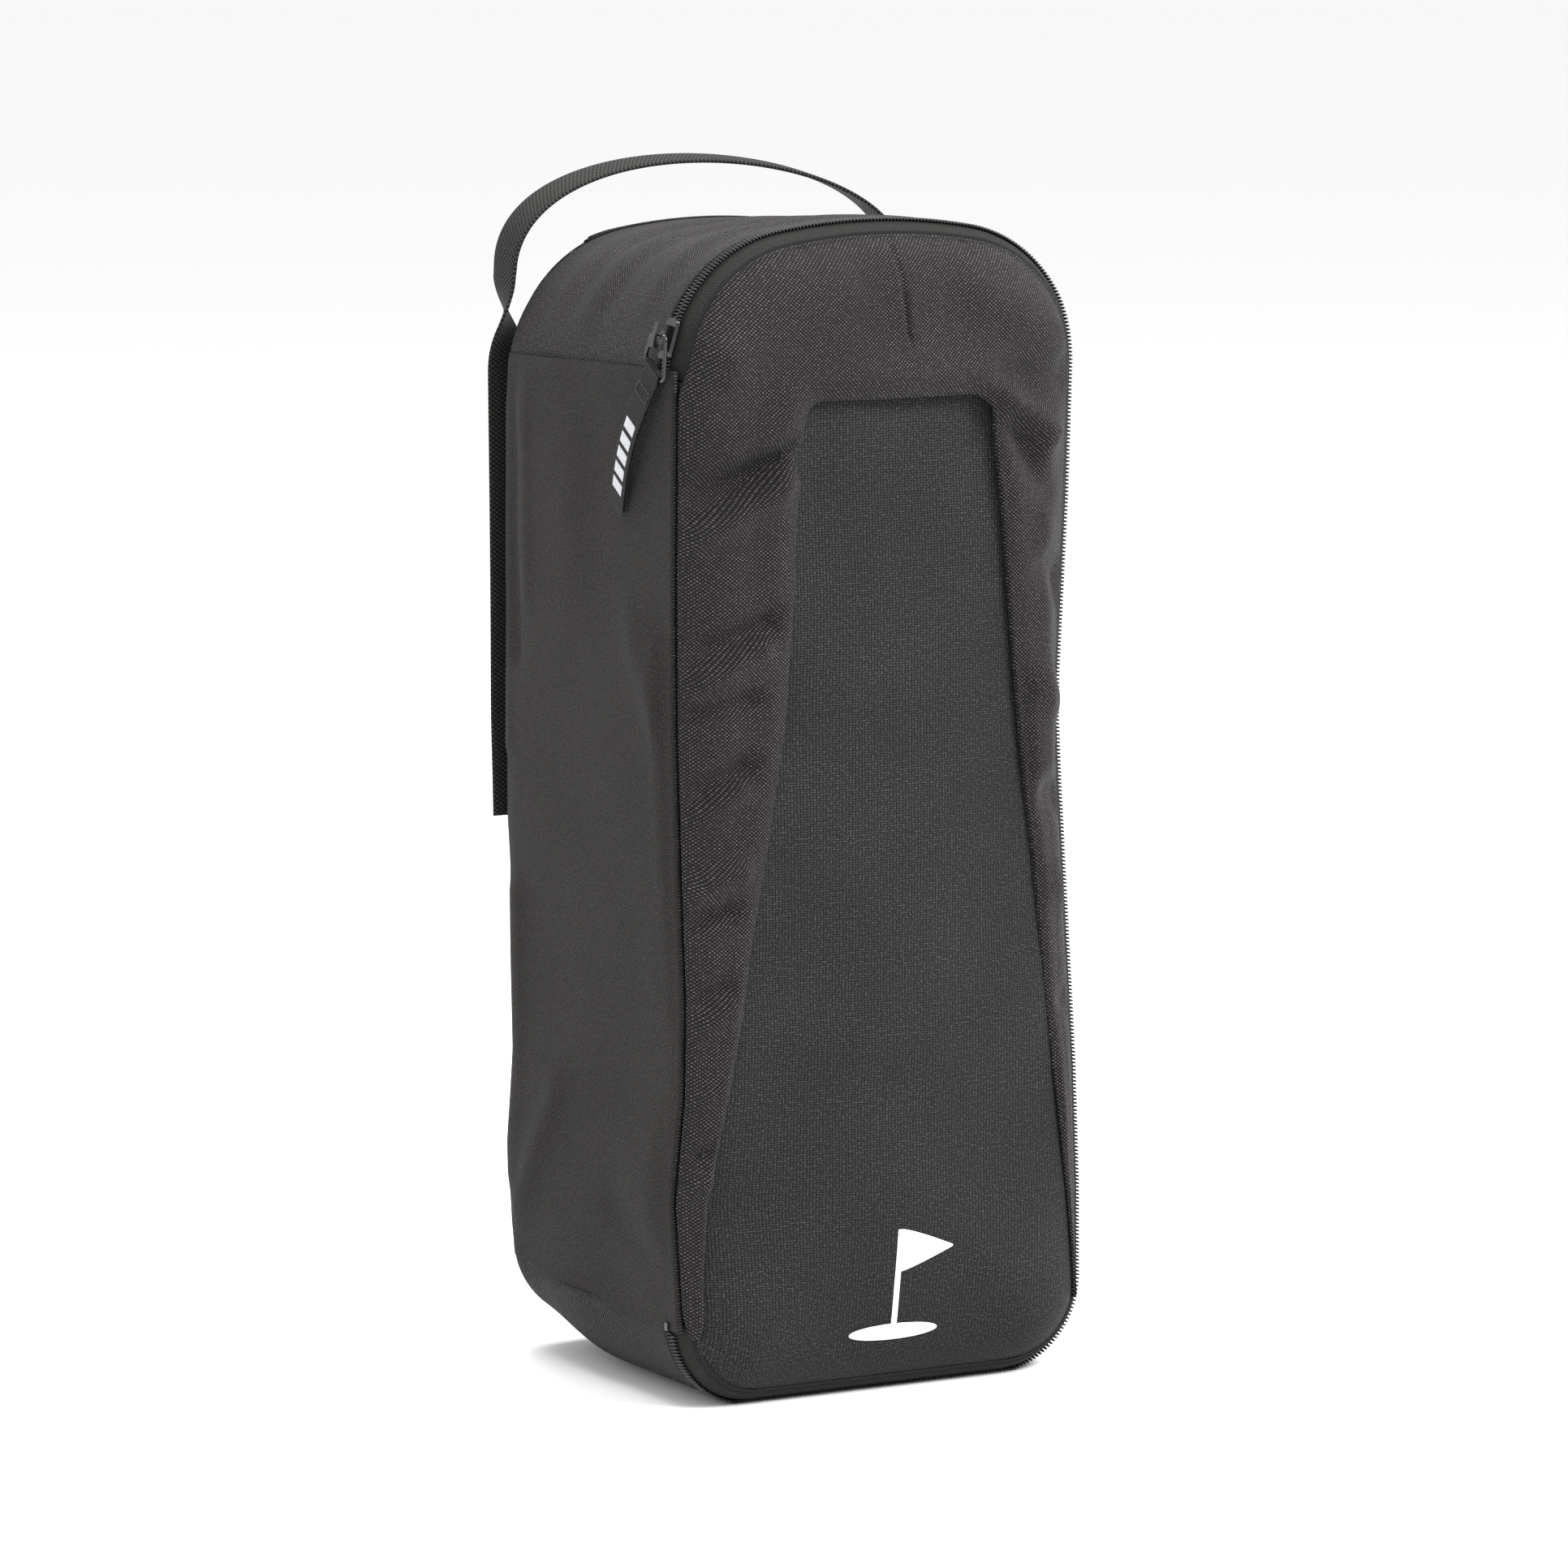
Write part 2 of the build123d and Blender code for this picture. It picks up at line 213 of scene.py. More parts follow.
INSET_RIGHT = ([22, 43, 70, 100, 137, 170, 200, 250, 320], [68.2, 65.5, 62, 58.5, 56, 53.5, 49, 42, 33])


def inset_half(z, x):
    """Distance from the middle to the centre panel's edge, on the side of x."""
    return np.where(np.asarray(x) < 0, np.interp(z, *INSET_LEFT), np.interp(z, *INSET_RIGHT))


def half_width(z, inset=0.0):
    """Half the outline's width at height z."""
    z = np.asarray(z, float)
    base = BASE_X + np.sqrt(np.maximum((BOTTOM_R - inset) ** 2 - (BOTTOM_R - z) ** 2, 0))
    corner = CORNER_X + np.sqrt(np.maximum((TOP_R - inset) ** 2 - (z - CORNER_Z) ** 2, 0))
    crown = np.sqrt(np.maximum((CROWN_R - inset) ** 2 - (z - CROWN_Z) ** 2, 0))
    meet = CORNER_Z + (TOP_R - inset) * math.cos(CROWN_A)
    upper = np.where(z > meet, crown, np.where(z > CORNER_Z, corner, HALF - inset))
    return np.where(z < BOTTOM_R, base, upper)


def dart(x, z):
    """The sewn dart above the centre panel: a short line where one side laps over the other."""
    off = x - np.interp(z, [333, 366], [1.5, 0.0])
    along = smooth(z, 331, 337) * smooth(-z, -369, -364)
    step = 1.7 * np.exp(np.minimum(off, 0) / 9) * smooth(-off, -0.9, 0.1)
    return along * (step - 1.6 * np.exp(-((off - 0.8) / 1.0) ** 2))


def inside_seam(x, z):
    return np.maximum(edge_distance(x, z) - seam_at(x, z), 0)


def door_depth(x, z):
    """How far the door stands forward of its seam, before any folds."""
    d = inside_seam(x, z)
    base = (BULGE - 1.5) * (1 - np.exp(-d / 9.0)) + 3.0 * smooth(d, 10, 60)
    hollow = smooth(z, 240, 300) * smooth(inset_half(z, x) - np.abs(x), -6, 10) * smooth(-z, -INSET_TOP - 7, -INSET_TOP + 1)
    return base + -2.4 * hollow


def centre_depth(x, z):
    """How far the centre panel stands forward of the seam, with its folds."""
    d = inside_seam(x, z)
    flat = np.stack([x, z, np.zeros_like(x)], 2)
    depth = door_depth(x, z) + wander(flat, 46, 11) * 1.3 * smooth(d, 2, 20)
    return depth + crease(x, z, CENTRE_FOLDS) * smooth(d, 2, 12)


# ---------------------------------------------------------------- meshes
def make_mesh(name, verts, faces, uvs, material, second=None):
    """An object from millimetre points, with a flat cloth layout for its weave."""
    mesh = bpy.data.meshes.new(name)
    mesh.from_pydata((np.asarray(verts) * MM).tolist(), [], faces)
    layer = mesh.uv_layers.new(name="weave")
    uvs = np.asarray(uvs) * MM
    corners = np.empty(len(mesh.loops), int)
    mesh.loops.foreach_get("vertex_index", corners)
    layer.data.foreach_set("uv", uvs[corners].astype(np.float32).ravel())
    mesh.polygons.foreach_set("use_smooth", [True] * len(mesh.polygons))
    mesh.materials.append(material)
    if second:
        mesh.materials.append(second)
    mesh.update()
    obj = bpy.data.objects.new(name, mesh)
    bpy.context.scene.collection.objects.link(obj)
    return obj


def grid_faces(rows, cols, closed_cols=False, start=0):
    faces = []
    for i in range(rows - 1):
        for j in range(cols if closed_cols else cols - 1):
            a = start + i * cols + j
            b = start + i * cols + (j + 1) % cols
            c = start + (i + 1) * cols + (j + 1) % cols
            d = start + (i + 1) * cols + j
            faces.append((a, b, c, d))
    return faces


def grid(name, points, uvs, material, thickness, second=None, flip=False):
    """A sheet from a rows x columns array of points, thickened inwards."""
    rows, cols = points.shape[:2]
    faces = grid_faces(rows, cols)
    if flip:
        faces = [f[::-1] for f in faces]
    obj = make_mesh(name, points.reshape(-1, 3), faces, uvs.reshape(-1, 2), material, second)
    solid = obj.modifiers.new("thickness", "SOLIDIFY")
    solid.thickness = thickness * MM
    solid.offset = -1
    solid.use_even_offset = False
    if second:
        solid.material_offset = 1
    return obj


def strap(name, centres, acrosses, width, thickness, material, around=16):
    """A flat band with rounded edges along centres, its width along acrosses."""
    centres, acrosses = np.asarray(centres, float), np.asarray(acrosses, float)
    acrosses /= np.linalg.norm(acrosses, axis=1, keepdims=True)
    ahead = np.gradient(centres, axis=0)
    ahead /= np.linalg.norm(ahead, axis=1, keepdims=True)
    normals = np.cross(ahead, acrosses)
    normals /= np.linalg.norm(normals, axis=1, keepdims=True)
    a = np.linspace(0, 2 * math.pi, around, endpoint=False)
    flat = np.sign(np.cos(a)) * np.abs(np.cos(a)) ** 0.35 * width / 2
    thick = np.sign(np.sin(a)) * np.abs(np.sin(a)) ** 0.6 * thickness / 2
    ring = centres[:, None] + acrosses[:, None] * flat[None, :, None] + normals[:, None] * thick[None, :, None]
    along = lengths(centres)
    uvs = np.stack(np.broadcast_arrays(flat[None, :], along[:, None]), 2)
    faces = grid_faces(len(centres), around, closed_cols=True)
    last = (len(centres) - 1) * around
    faces += [tuple(range(around))[::-1], tuple(range(last, last + around))]
    return make_mesh(name, ring.reshape(-1, 3), faces, uvs.reshape(-1, 2), material)


def blob(centre, axis, side, up, size):
    """Small rounded bar: its vertices and faces, with its long way along axis."""
    rings, around = 5, 8
    verts = []
    for i in range(rings):
        t = (i + 0.5) / rings * math.pi
        for j in range(around):
            a = 2 * math.pi * j / around
            verts.append(
                centre
                - axis * size[0] / 2 * math.copysign(abs(math.cos(t)) ** 0.6, math.cos(t))
                + (side * math.cos(a) * size[1] + up * math.sin(a) * size[2]) / 2 * math.sin(t) ** 0.5
            )
    faces = grid_faces(rings, around, closed_cols=True)
    faces += [tuple(range(around))[::-1], tuple(range((rings - 1) * around, rings * around))]
    return verts, faces


def blobs(name, items, material):
    verts, faces = [], []
    for item in items:
        more, quads = blob(*item)
        faces += [tuple(k + len(verts) for k in q) for q in quads]
        verts += more
    verts = np.array(verts)
    return make_mesh(name, verts, faces, verts[:, :2], material)


def joint(name):
    return next(j for j in frame["record"]["behaviour"]["joints"] if j["name"] == name)


def place(obj, body, node, slot):
    """Let a piece ride on a body and take a CAD node's place; the slot argument is not used."""
    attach(obj, body)
    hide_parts(node)
    return obj


# ---------------------------------------------------------------- materials
class Graph:
    """Short way to write a material's node tree."""

    def __init__(self, name):
        self.material = bpy.data.materials.new(name)
        self.material.use_nodes = True
        self.tree = self.material.node_tree
        self.shader = self.tree.nodes["Principled BSDF"]

    def node(self, kind, **values):
        n = self.tree.nodes.new(kind)
        for key, value in values.items():
            setattr(n, key, value)
        return n

    def put(self, socket, value):
        if isinstance(value, bpy.types.NodeSocket):
            self.tree.links.new(value, socket)
        else:
            socket.default_value = value

    def math(self, operation, a, b=0.0, c=0.0):
        n = self.node("ShaderNodeMath", operation=operation)
        for socket, value in zip(n.inputs, (a, b, c)):
            self.put(socket, value)
        return n.outputs[0]

    def ramp(self, value, low_in, high_in, low_out=0.0, high_out=1.0):
        n = self.node("ShaderNodeMapRange", interpolation_type="SMOOTHSTEP")
        for socket, v in zip(n.inputs, (value, low_in, high_in, low_out, high_out)):
            self.put(socket, v)
        return n.outputs[0]

    def mix(self, factor, a, b):
        n = self.node("ShaderNodeMix", data_type="RGBA")
        self.put(n.inputs[0], factor)
        self.put(n.inputs[6], (*a, 1) if isinstance(a, tuple) else a)
        self.put(n.inputs[7], (*b, 1) if isinstance(b, tuple) else b)
        return n.outputs[2]

    def cloth_place(self):
        uv = self.node("ShaderNodeUVMap", uv_map="weave")
        parts = self.node("ShaderNodeSeparateXYZ")
        self.tree.links.new(uv.outputs[0], parts.inputs[0])
        return uv.outputs[0], parts.outputs[0], parts.outputs[1]

    def noise(self, vector, scale, detail=2.0):
        n = self.node("ShaderNodeTexNoise")
        self.tree.links.new(vector, n.inputs["Vector"])
        n.inputs["Scale"].default_value = scale
        n.inputs["Detail"].default_value = detail
        return n.outputs[0]

    def position(self):
        return self.node("ShaderNodeTexCoord").outputs["Object"]

    def bump(self, height, strength, distance):
        n = self.node("ShaderNodeBump")
        n.inputs["Strength"].default_value = strength
        n.inputs["Distance"].default_value = distance
        self.tree.links.new(height, n.inputs["Height"])
        self.tree.links.new(n.outputs[0], self.shader.inputs["Normal"])

    def finish(self, colour, roughness, sheen=0.0, specular=0.5):
        """Set the shader's surface values and return the material."""
        self.put(self.shader.inputs["Base Color"], (*colour, 1) if isinstance(colour, tuple) else colour)
        self.put(self.shader.inputs["Roughness"], roughness)
        self.shader.inputs["Sheen Weight"].default_value = sheen
        self.shader.inputs["Sheen Roughness"].default_value = 0.45
        self.shader.inputs["Specular IOR Level"].default_value = specular
        return self.material


def wave(g, place, pitch):
    return g.math("SINE", g.math("MULTIPLY", place, 2 * math.pi / (pitch * MM)))


def oxford(name, dark, light, pitch_u, pitch_v, bump=0.8):
    """Coarse plain weave: a chequer of raised threads, some of them glinting."""
    g = Graph(name)
    uv, u, v = g.cloth_place()
    sway = g.math("MULTIPLY", g.math("SUBTRACT", g.noise(uv, 90.0), 0.5), 0.0009)
    u = g.math("ADD", u, sway)
    v = g.math("ADD", v, sway)
    raised = g.math("MULTIPLY_ADD", g.math("MULTIPLY", wave(g, u, pitch_u), wave(g, v, pitch_v)), 0.5, 0.5)
    glint = g.ramp(g.noise(uv, 1500.0, 1.0), 0.42, 0.66)
    patches = g.ramp(g.noise(uv, 24.0, 3.0), 0.3, 0.7, 0.8, 1.0)
    lit = g.math("MULTIPLY", g.ramp(raised, 0.45, 0.95), g.math("MULTIPLY_ADD", glint, 0.75, 0.25))
    colour = g.mix(g.math("MULTIPLY", lit, patches), dark, light)
    g.bump(raised, bump, 0.00035)
    return g.finish(colour, g.ramp(raised, 0.2, 1.0, 0.85, 0.6), 0.04, 0.14)


def dobby(name, dark, light):
    """Fine cloth with small pits on a diagonal lattice; the pits are painted darker as shade in the recesses, and
    glinting specks are painted highlights.
    """
    g = Graph(name)
    uv, u, v = g.cloth_place()
    half_u, half_v = math.pi / (1.1 * MM), math.pi / (0.8 * MM)
    one = g.math("COSINE", g.math("ADD", g.math("MULTIPLY", u, half_u), g.math("MULTIPLY", v, half_v)))
    two = g.math("COSINE", g.math("SUBTRACT", g.math("MULTIPLY", u, half_u), g.math("MULTIPLY", v, half_v)))
    pits = g.ramp(g.math("MULTIPLY", one, two), 0.15, 0.85)
    threads = g.math("MULTIPLY_ADD", g.math("MULTIPLY", wave(g, u, 0.73), wave(g, v, 0.53)), 0.5, 0.5)
    glint = g.ramp(g.noise(uv, 1300.0, 1.0), 0.45, 0.7)
    # Painted shade in the pits and painted highlights at the glinting specks
    lit = g.math("MULTIPLY", g.math("SUBTRACT", 1.0, pits), g.math("MULTIPLY_ADD", glint, 0.7, 0.3))
    patches = g.ramp(g.noise(uv, 20.0, 3.0), 0.3, 0.7, 0.78, 1.0)
    colour = g.mix(g.math("MULTIPLY", lit, patches), dark, light)
    height = g.math("MULTIPLY_ADD", pits, -1.0, g.math("MULTIPLY", threads, 0.35))
    g.bump(height, 0.65, 0.0003)
    return g.finish(colour, g.ramp(pits, 0.0, 1.0, 0.6, 0.9), 0.03, 0.12)


def ribbed(name, dark, light, pitch, bump=0.7, cross=None):
    """Ribs across a band, such as grosgrain or a knitted tape."""
    g = Graph(name)
    uv, u, v = g.cloth_place()
    ribs = g.math("MULTIPLY_ADD", wave(g, v, pitch), 0.5, 0.5)
    if cross:
        ribs = g.math("MULTIPLY_ADD", g.math("MULTIPLY", wave(g, v, pitch), wave(g, u, cross)), 0.5, 0.5)
    glint = g.ramp(g.noise(uv, 1800.0, 1.0), 0.35, 0.7)
    # Painted highlights: the rib crests and glinting specks are painted lighter, the hollows between ribs darker
    colour = g.mix(g.math("MULTIPLY", g.ramp(ribs, 0.3, 1.0), g.math("MULTIPLY_ADD", glint, 0.7, 0.3)), dark, light)
    g.bump(ribs, bump, 0.0003)
    return g.finish(colour, g.ramp(ribs, 0.0, 1.0, 0.85, 0.6), 0.03, 0.14)


def plain(name, dark, light, roughness, metallic=0.0, coat=0.0):
    """Moulded, enamelled or printed surface with fine grain and small changes of tone."""
    g = Graph(name)
    place = g.position()
    grain = g.noise(place, 900.0, 3.0)
    colour = g.mix(g.ramp(g.noise(place, 60.0, 3.0), 0.3, 0.7), dark, light)
    g.bump(grain, 0.15, 0.00008)
    g.shader.inputs["Metallic"].default_value = metallic
    g.shader.inputs["Coat Weight"].default_value = coat
    g.shader.inputs["Coat Roughness"].default_value = 0.12
    return g.finish(colour, g.ramp(grain, 0.3, 0.7, roughness * 0.85, roughness * 1.15), 0.0, 0.5)


OUTER = oxford("oxford_cloth", (0.0070, 0.0058, 0.0063), (0.14, 0.127, 0.133), 1.3, 1.15)
SIDE = oxford("oxford_side_cloth", (0.0080, 0.0070, 0.0066), (0.085, 0.078, 0.072), 1.05, 0.95)
INSET = dobby("dobby_cloth", (0.0022, 0.0022, 0.0024), (0.047, 0.0445, 0.046))
LINING = oxford("lining_cloth", (0.012, 0.012, 0.013), (0.035, 0.035, 0.037), 0.7, 0.7, 0.3)
TAPE = ribbed("zip_tape_knit", (0.010, 0.010, 0.0095), (0.042, 0.042, 0.038), 0.7, 0.5, 0.9)
BINDING = ribbed("binding_tape", (0.012, 0.012, 0.012), (0.04, 0.04, 0.039), 0.8, 0.5)
WEBBING = ribbed("webbing_weave", (0.006, 0.006, 0.0058), (0.060, 0.056, 0.050), 1.5, 0.9, 2.2)
RIBBON = ribbed("grosgrain_ribbon", (0.006, 0.006, 0.006), (0.040, 0.040, 0.039), 0.75, 0.8)
THREAD = plain("sewing_thread", (0.012, 0.012, 0.012), (0.035, 0.035, 0.034), 0.55)
COIL = plain("coil_nylon", (0.004, 0.004, 0.0042), (0.010, 0.010, 0.0105), 0.4)
METAL = plain("black_enamel", (0.004, 0.004, 0.0045), (0.012, 0.012, 0.013), 0.22, 0.1, coat=0.2)
PRINT = plain("white_print_ink", (0.74, 0.75, 0.79), (0.82, 0.83, 0.87), 0.5)
YARN = ribbed("white_yarn_weave", (0.45, 0.46, 0.48), (0.86, 0.87, 0.90), 0.75, 0.6)


# ---------------------------------------------------------------- bag body
def gusset_points(inset, y_front, y_back):
    """The strip over the top, right side and bottom, with soft folds along its top."""
    path = zip_path(0.0, 2.0)
    ys = np.linspace(y_front, y_back, int((y_back - y_front) / 2.2) + 1)
    s = lengths(path[:, :2])
    x, z = path[:, 0, None], path[:, 1, None]
    nx, nz = path[:, 2, None], path[:, 3, None]
    y = np.broadcast_to(ys[None], (len(path), len(ys)))
    inside = smooth(y, y_front, y_front + 22) * smooth(-y, -y_back, -y_back + 22)
    top = smooth(nz, 0.05, 0.8)
    side = smooth(nx, 0.3, 1.0)
    under = smooth(-nz, 0.3, 1.0)
    swell = inside * (1.5 * side - 0.5 * top)
    arc_s = np.broadcast_to(s[:, None], y.shape)
    ripple = 0.0
    for middle, slope, width, tall in TOP_FOLDS:
        off = y - middle - slope * (arc_s - 90)
        ripple = ripple + tall * np.exp(-(off / width) ** 2)
    swell = swell + ripple * top * inside * smooth(arc_s, 0, 30)
    flat = np.stack([arc_s, y, np.zeros_like(y)], 2)
    swell = swell + wander(flat, 34, 1) * 1.3 * inside * (1 - under)
    round_back = 3.0 * smooth(y, y_back - 9, y_back) ** 2 * (1 - under)
    out = swell - inset - round_back
    points = np.stack([x + nx * out, y, z + nz * out], 2)
    points[..., 2] = np.maximum(points[..., 2], 0.25 + inset)
    uvs = np.stack([arc_s, y], 2)
    return warp(points), uvs


def side_points(inset, lap):
    """The hinge panel, a little bulged; lap is how far it runs past its CAD edges."""
    ys = np.linspace(FRONT_Y + 0.3, BACK_Y, 48)
    zs = np.linspace(HINGE_LOW - lap, HINGE_HIGH + lap, 125)
    y, z = np.meshgrid(ys, zs)
    inside = smooth(y, FRONT_Y, FRONT_Y + 16) * smooth(-y, -BACK_Y, -BACK_Y + 14)
    ends = smooth(z, HINGE_LOW, HINGE_LOW + 25) * smooth(-z, -HINGE_HIGH, -HINGE_HIGH + 20)
    swell = 1.6 * inside * ends + 1.7 * crease(y, z, SIDE_FOLDS) * inside * (0.3 + 0.7 * ends)
    flat = np.stack([y, z, np.zeros_like(y)], 2)
    swell = swell + wander(flat, 42, 3) * 1.1 * inside
    swell = swell * (1 - 0.95 * smooth(z, 235, 270) * smooth(-y, -12, 12))  # flat under the pull
    round_back = 3.0 * smooth(y, BACK_Y - 9, BACK_Y) ** 2
    over = np.maximum(z - CORNER_Z, 0)
    curve = TOP_R - np.sqrt(TOP_R**2 - over**2)
    under = np.maximum(BOTTOM_R - z, 0)
    curve = curve + BOTTOM_R - np.sqrt(np.maximum(BOTTOM_R**2 - under**2, 0))
    x = -HALF - swell + inset + round_back + curve
    return warp(np.stack([x, y, z], 2)), np.stack([y, z], 2)


def disc_points(inset):
    """A filled outline as rows of constant height."""
    rows, cols = 130, 70
    t = np.linspace(0, math.pi, rows)
    zs = inset + (HEIGHT - 2 * inset) * (1 - np.cos(t)) / 2
    half = np.maximum(half_width(zs, inset), 0.5)
    across = -np.cos(np.linspace(0, math.pi, cols))
    across = 0.5 * across + 0.5 * np.linspace(-1, 1, cols)
    return half[:, None] * across[None], np.broadcast_to(zs[:, None], (rows, cols))


def back_points(inset):
    """The back panel, crowned, with its edge drawn in at the seam."""
    x, z = disc_points(0.0)
    d = np.maximum(edge_distance(x, z), 0)
    bulge = 4.2 * (1 - np.exp(-d / 14.0))
    flat = np.stack([x, z, np.zeros_like(x)], 2)
    bulge = bulge + wander(flat, 60, 5) * smooth(d, 3, 25)
    shrink = 2.6 * (1 - smooth(d, 0, 7))
    drawn_in = np.sign(x) * shrink * (np.abs(x) > BASE_X)
    points = np.stack([x - drawn_in, BACK_Y + bulge - inset - 0.6 * (1 - smooth(d, 0, 7)), z], 2)
    return warp(points), np.stack([x, z], 2)


for name, node, (points, uvs), material, thickness, slot in (
    ("gusset_skin", "zip_gusset", gusset_points(0.0, GUSSET_Y, BACK_Y), OUTER, 1.2, "outer_cloth"),
    ("gusset_lining_skin", "zip_gusset_lining", gusset_points(2.4, GUSSET_Y + 8, BACK_Y - 3), LINING, 0.5, "lining_cloth"),
    ("hinge_panel_skin", "hinge_gusset", side_points(-0.4, 2.5), SIDE, 1.3, "outer_cloth"),
    ("hinge_panel_lining_skin", "hinge_gusset_lining", side_points(2.0, -1.0), LINING, 0.5, "lining_cloth"),
    ("back_panel_skin", "back_panel", back_points(0.0), OUTER, 1.2, "outer_cloth"),
    ("back_lining_skin", "back_lining", back_points(2.2), LINING, 0.5, "lining_cloth"),
):
    panel = grid(name, points, uvs, material, thickness, None if material is LINING else LINING, flip=True)
    place(panel, "shell", node, slot)


# ---------------------------------------------------------------- door
def inset_edge():
    """The centre panel's edge from its left bottom, over the top, to its right bottom."""
    radius, top = 9.0, INSET_TOP
    halves = []
    for sign in (-1, 1):
        zs = np.linspace(23.5, top - radius, 180)
        rise = np.stack([sign * inset_half(zs, sign), zs], 1)
        half = float(inset_half(top - radius, sign))
        a = np.linspace(math.pi, math.pi / 2, 16)[1:]
        corner = np.stack([sign * (half - radius - radius * np.cos(a)), top - radius + radius * np.sin(a)], 1)
        across = np.stack([sign * np.linspace(half - radius, 0, 50)[1:], np.full(49, top)], 1)
        halves.append(np.concatenate([rise, corner, across]))
    return np.concatenate([halves[0], halves[1][-2::-1]])


def outer_edge(inner):
    """The point of the door's seam that each point of the centre panel's edge is joined to."""
    path = door_path(0.5)
    hub = np.stack([inner[:, 0] * 0.55, np.minimum(inner[:, 1], 292)], 1)
    reach = inner - hub
    reach[:, 0] += 4 * np.clip(inner[:, 0] / 20, -1, 1)
    rays = reach / np.linalg.norm(reach, axis=1, keepdims=True)
    out = []
    for p, r in zip(hub, rays):
        to = path - p
        dist = np.linalg.norm(to, axis=1, keepdims=True)
        out.append(path[np.argmax((to / dist) @ r)])
    return np.array(out)


def border_depth(x, z, v):
    """How far the border stands forward. v runs from 0 at the outer seam to 1 at the centre panel's edge."""
    puff = 3.6 * np.sin(np.pi * v) ** 0.8 * (0.25 + 0.75 * smooth(z, 20, 120))
    roll = (1.6 + 2.2 * smooth(z, 120, 300)) * smooth(v, 0.55, 0.95)
    folds = 2.5 * crease(x, z, DOOR_FOLDS) + 1.2 * wander(np.stack([x, z, np.zeros_like(x)], -1), 24, 9) + dart(x, z)
    ease = smooth(inside_seam(x, z), 0, 5) * (1 - 0.5 * smooth(v, 0.8, 1))
    depth = door_depth(x, z) + puff * 0.7 + roll + folds * ease
    return np.maximum(depth, door_depth(x, z) * 0.5 + 0.9)  # stay in front of the lining


inner = inset_edge()
outer = outer_edge(inner)
v = np.linspace(0, 1, 52)[None, :]
fx = outer[:, None, 0] * (1 - v) + inner[:, None, 0] * v
fz = outer[:, None, 1] * (1 - v) + inner[:, None, 1] * v
fy = FRONT_Y - border_depth(fx, fz, np.broadcast_to(v, fx.shape))
# The border's inner edge turns under in a small roll
turn = np.linspace(0, math.pi * 0.9, 8)[None, 1:]
toward = inner - outer
toward = toward / np.linalg.norm(toward, axis=1, keepdims=True)
roll_r = (0.5 + 1.1 * smooth(inner[:, 1], 30, 200))[:, None]
rx = inner[:, None, 0] + toward[:, None, 0] * roll_r * np.sin(turn)
rz = inner[:, None, 1] + toward[:, None, 1] * roll_r * np.sin(turn)
ry = fy[:, -1:] + roll_r * (1 - np.cos(turn))
fx, fy, fz = (np.concatenate(pair, 1) for pair in ((fx, rx), (fy, ry), (fz, rz)))
border = grid("door_border_skin", warp(np.stack([fx, fy, fz], 2)), np.stack([fx, fz], 2), OUTER, 0.9, LINING)
place(border, "door", "front_frame_panel", "outer_cloth")


def centre_points(margin):
    """The centre panel, which runs on a little way under the border."""
    t = np.linspace(-1, 1, 90)
    zs = np.linspace(ZIP_SEAM, INSET_TOP + margin, 150)
    base = half_width(zs, ZIP_SEAM)
    left, right = (np.minimum(inset_half(zs, sign) + margin, base) for sign in (-1, 1))
    x = np.where(t[None] < 0, left[:, None], right[:, None]) * t[None]
    z = np.broadcast_to(zs[:, None], x.shape)
    return warp(np.stack([x, FRONT_Y - centre_depth(x, z), z], 2)), np.stack([x, z], 2)


def door_lining_points():
    x, z = disc_points(3.6)
    depth = door_depth(x, z) * 0.5 - 1.0
    return warp(np.stack([x, FRONT_Y - np.maximum(depth, 0.2), z], 2)), np.stack([x, z], 2)


place(grid("door_centre_skin", *centre_points(4.0), INSET, 0.9, LINING), "door", "front_inset_panel", "inset_cloth")
place(grid("door_lining_skin", *door_lining_points(), LINING, 0.5), "door", "front_lining", "lining_cloth")


def band_strip(name, path, inset_front, inset_back, y_front, y_back, material, thickness):
    """A tape that follows the outline, its inset easing from one value to another across its width."""
    ys = np.linspace(y_front, y_back, 9)
    t = np.linspace(0, 1, 9)
    depth = inset_front + (inset_back - inset_front) * np.sin(t * math.pi / 2) ** 1.2
    x = path[:, 0, None] - path[:, 2, None] * depth[None]
    z = path[:, 1, None] - path[:, 3, None] * depth[None]
    y = np.broadcast_to(ys[None], x.shape)
    s = np.broadcast_to(lengths(path[:, :2])[:, None], x.shape)
    return grid(name, warp(np.stack([x, y, z], 2)), np.stack([y, s], 2), material, thickness, flip=True)


zip_way, whole_way = zip_path(0.0, 1.8), full_path(0.0, 2.2)
tape = band_strip("zip_tape_door_side", zip_way, 5.0, 0.7, FRONT_Y - 1.3, CHAIN_Y - 0.3, TAPE, 0.6)
place(tape, "door", "zip_tape_front", "zip_tape")
tape = band_strip("zip_tape_bag_side", zip_way, 1.3, 1.3, CHAIN_Y + 0.2, CHAIN_Y + 10, TAPE, 0.6)
place(tape, "shell", "zip_tape_rear", "zip_tape")
binding = band_strip("door_seam_binding", whole_way, 3.2, 3.2, FRONT_Y + 0.4, FRONT_Y + 4.0, BINDING, 0.8)
place(binding, "door", "front_seam_binding", "zip_tape")
binding = band_strip("back_binding_strip", whole_way, 4.2, 4.2, BACK_Y - 7.5, BACK_Y - 2.6, BINDING, 0.8)
place(binding, "shell", "back_seam_binding", "zip_tape")


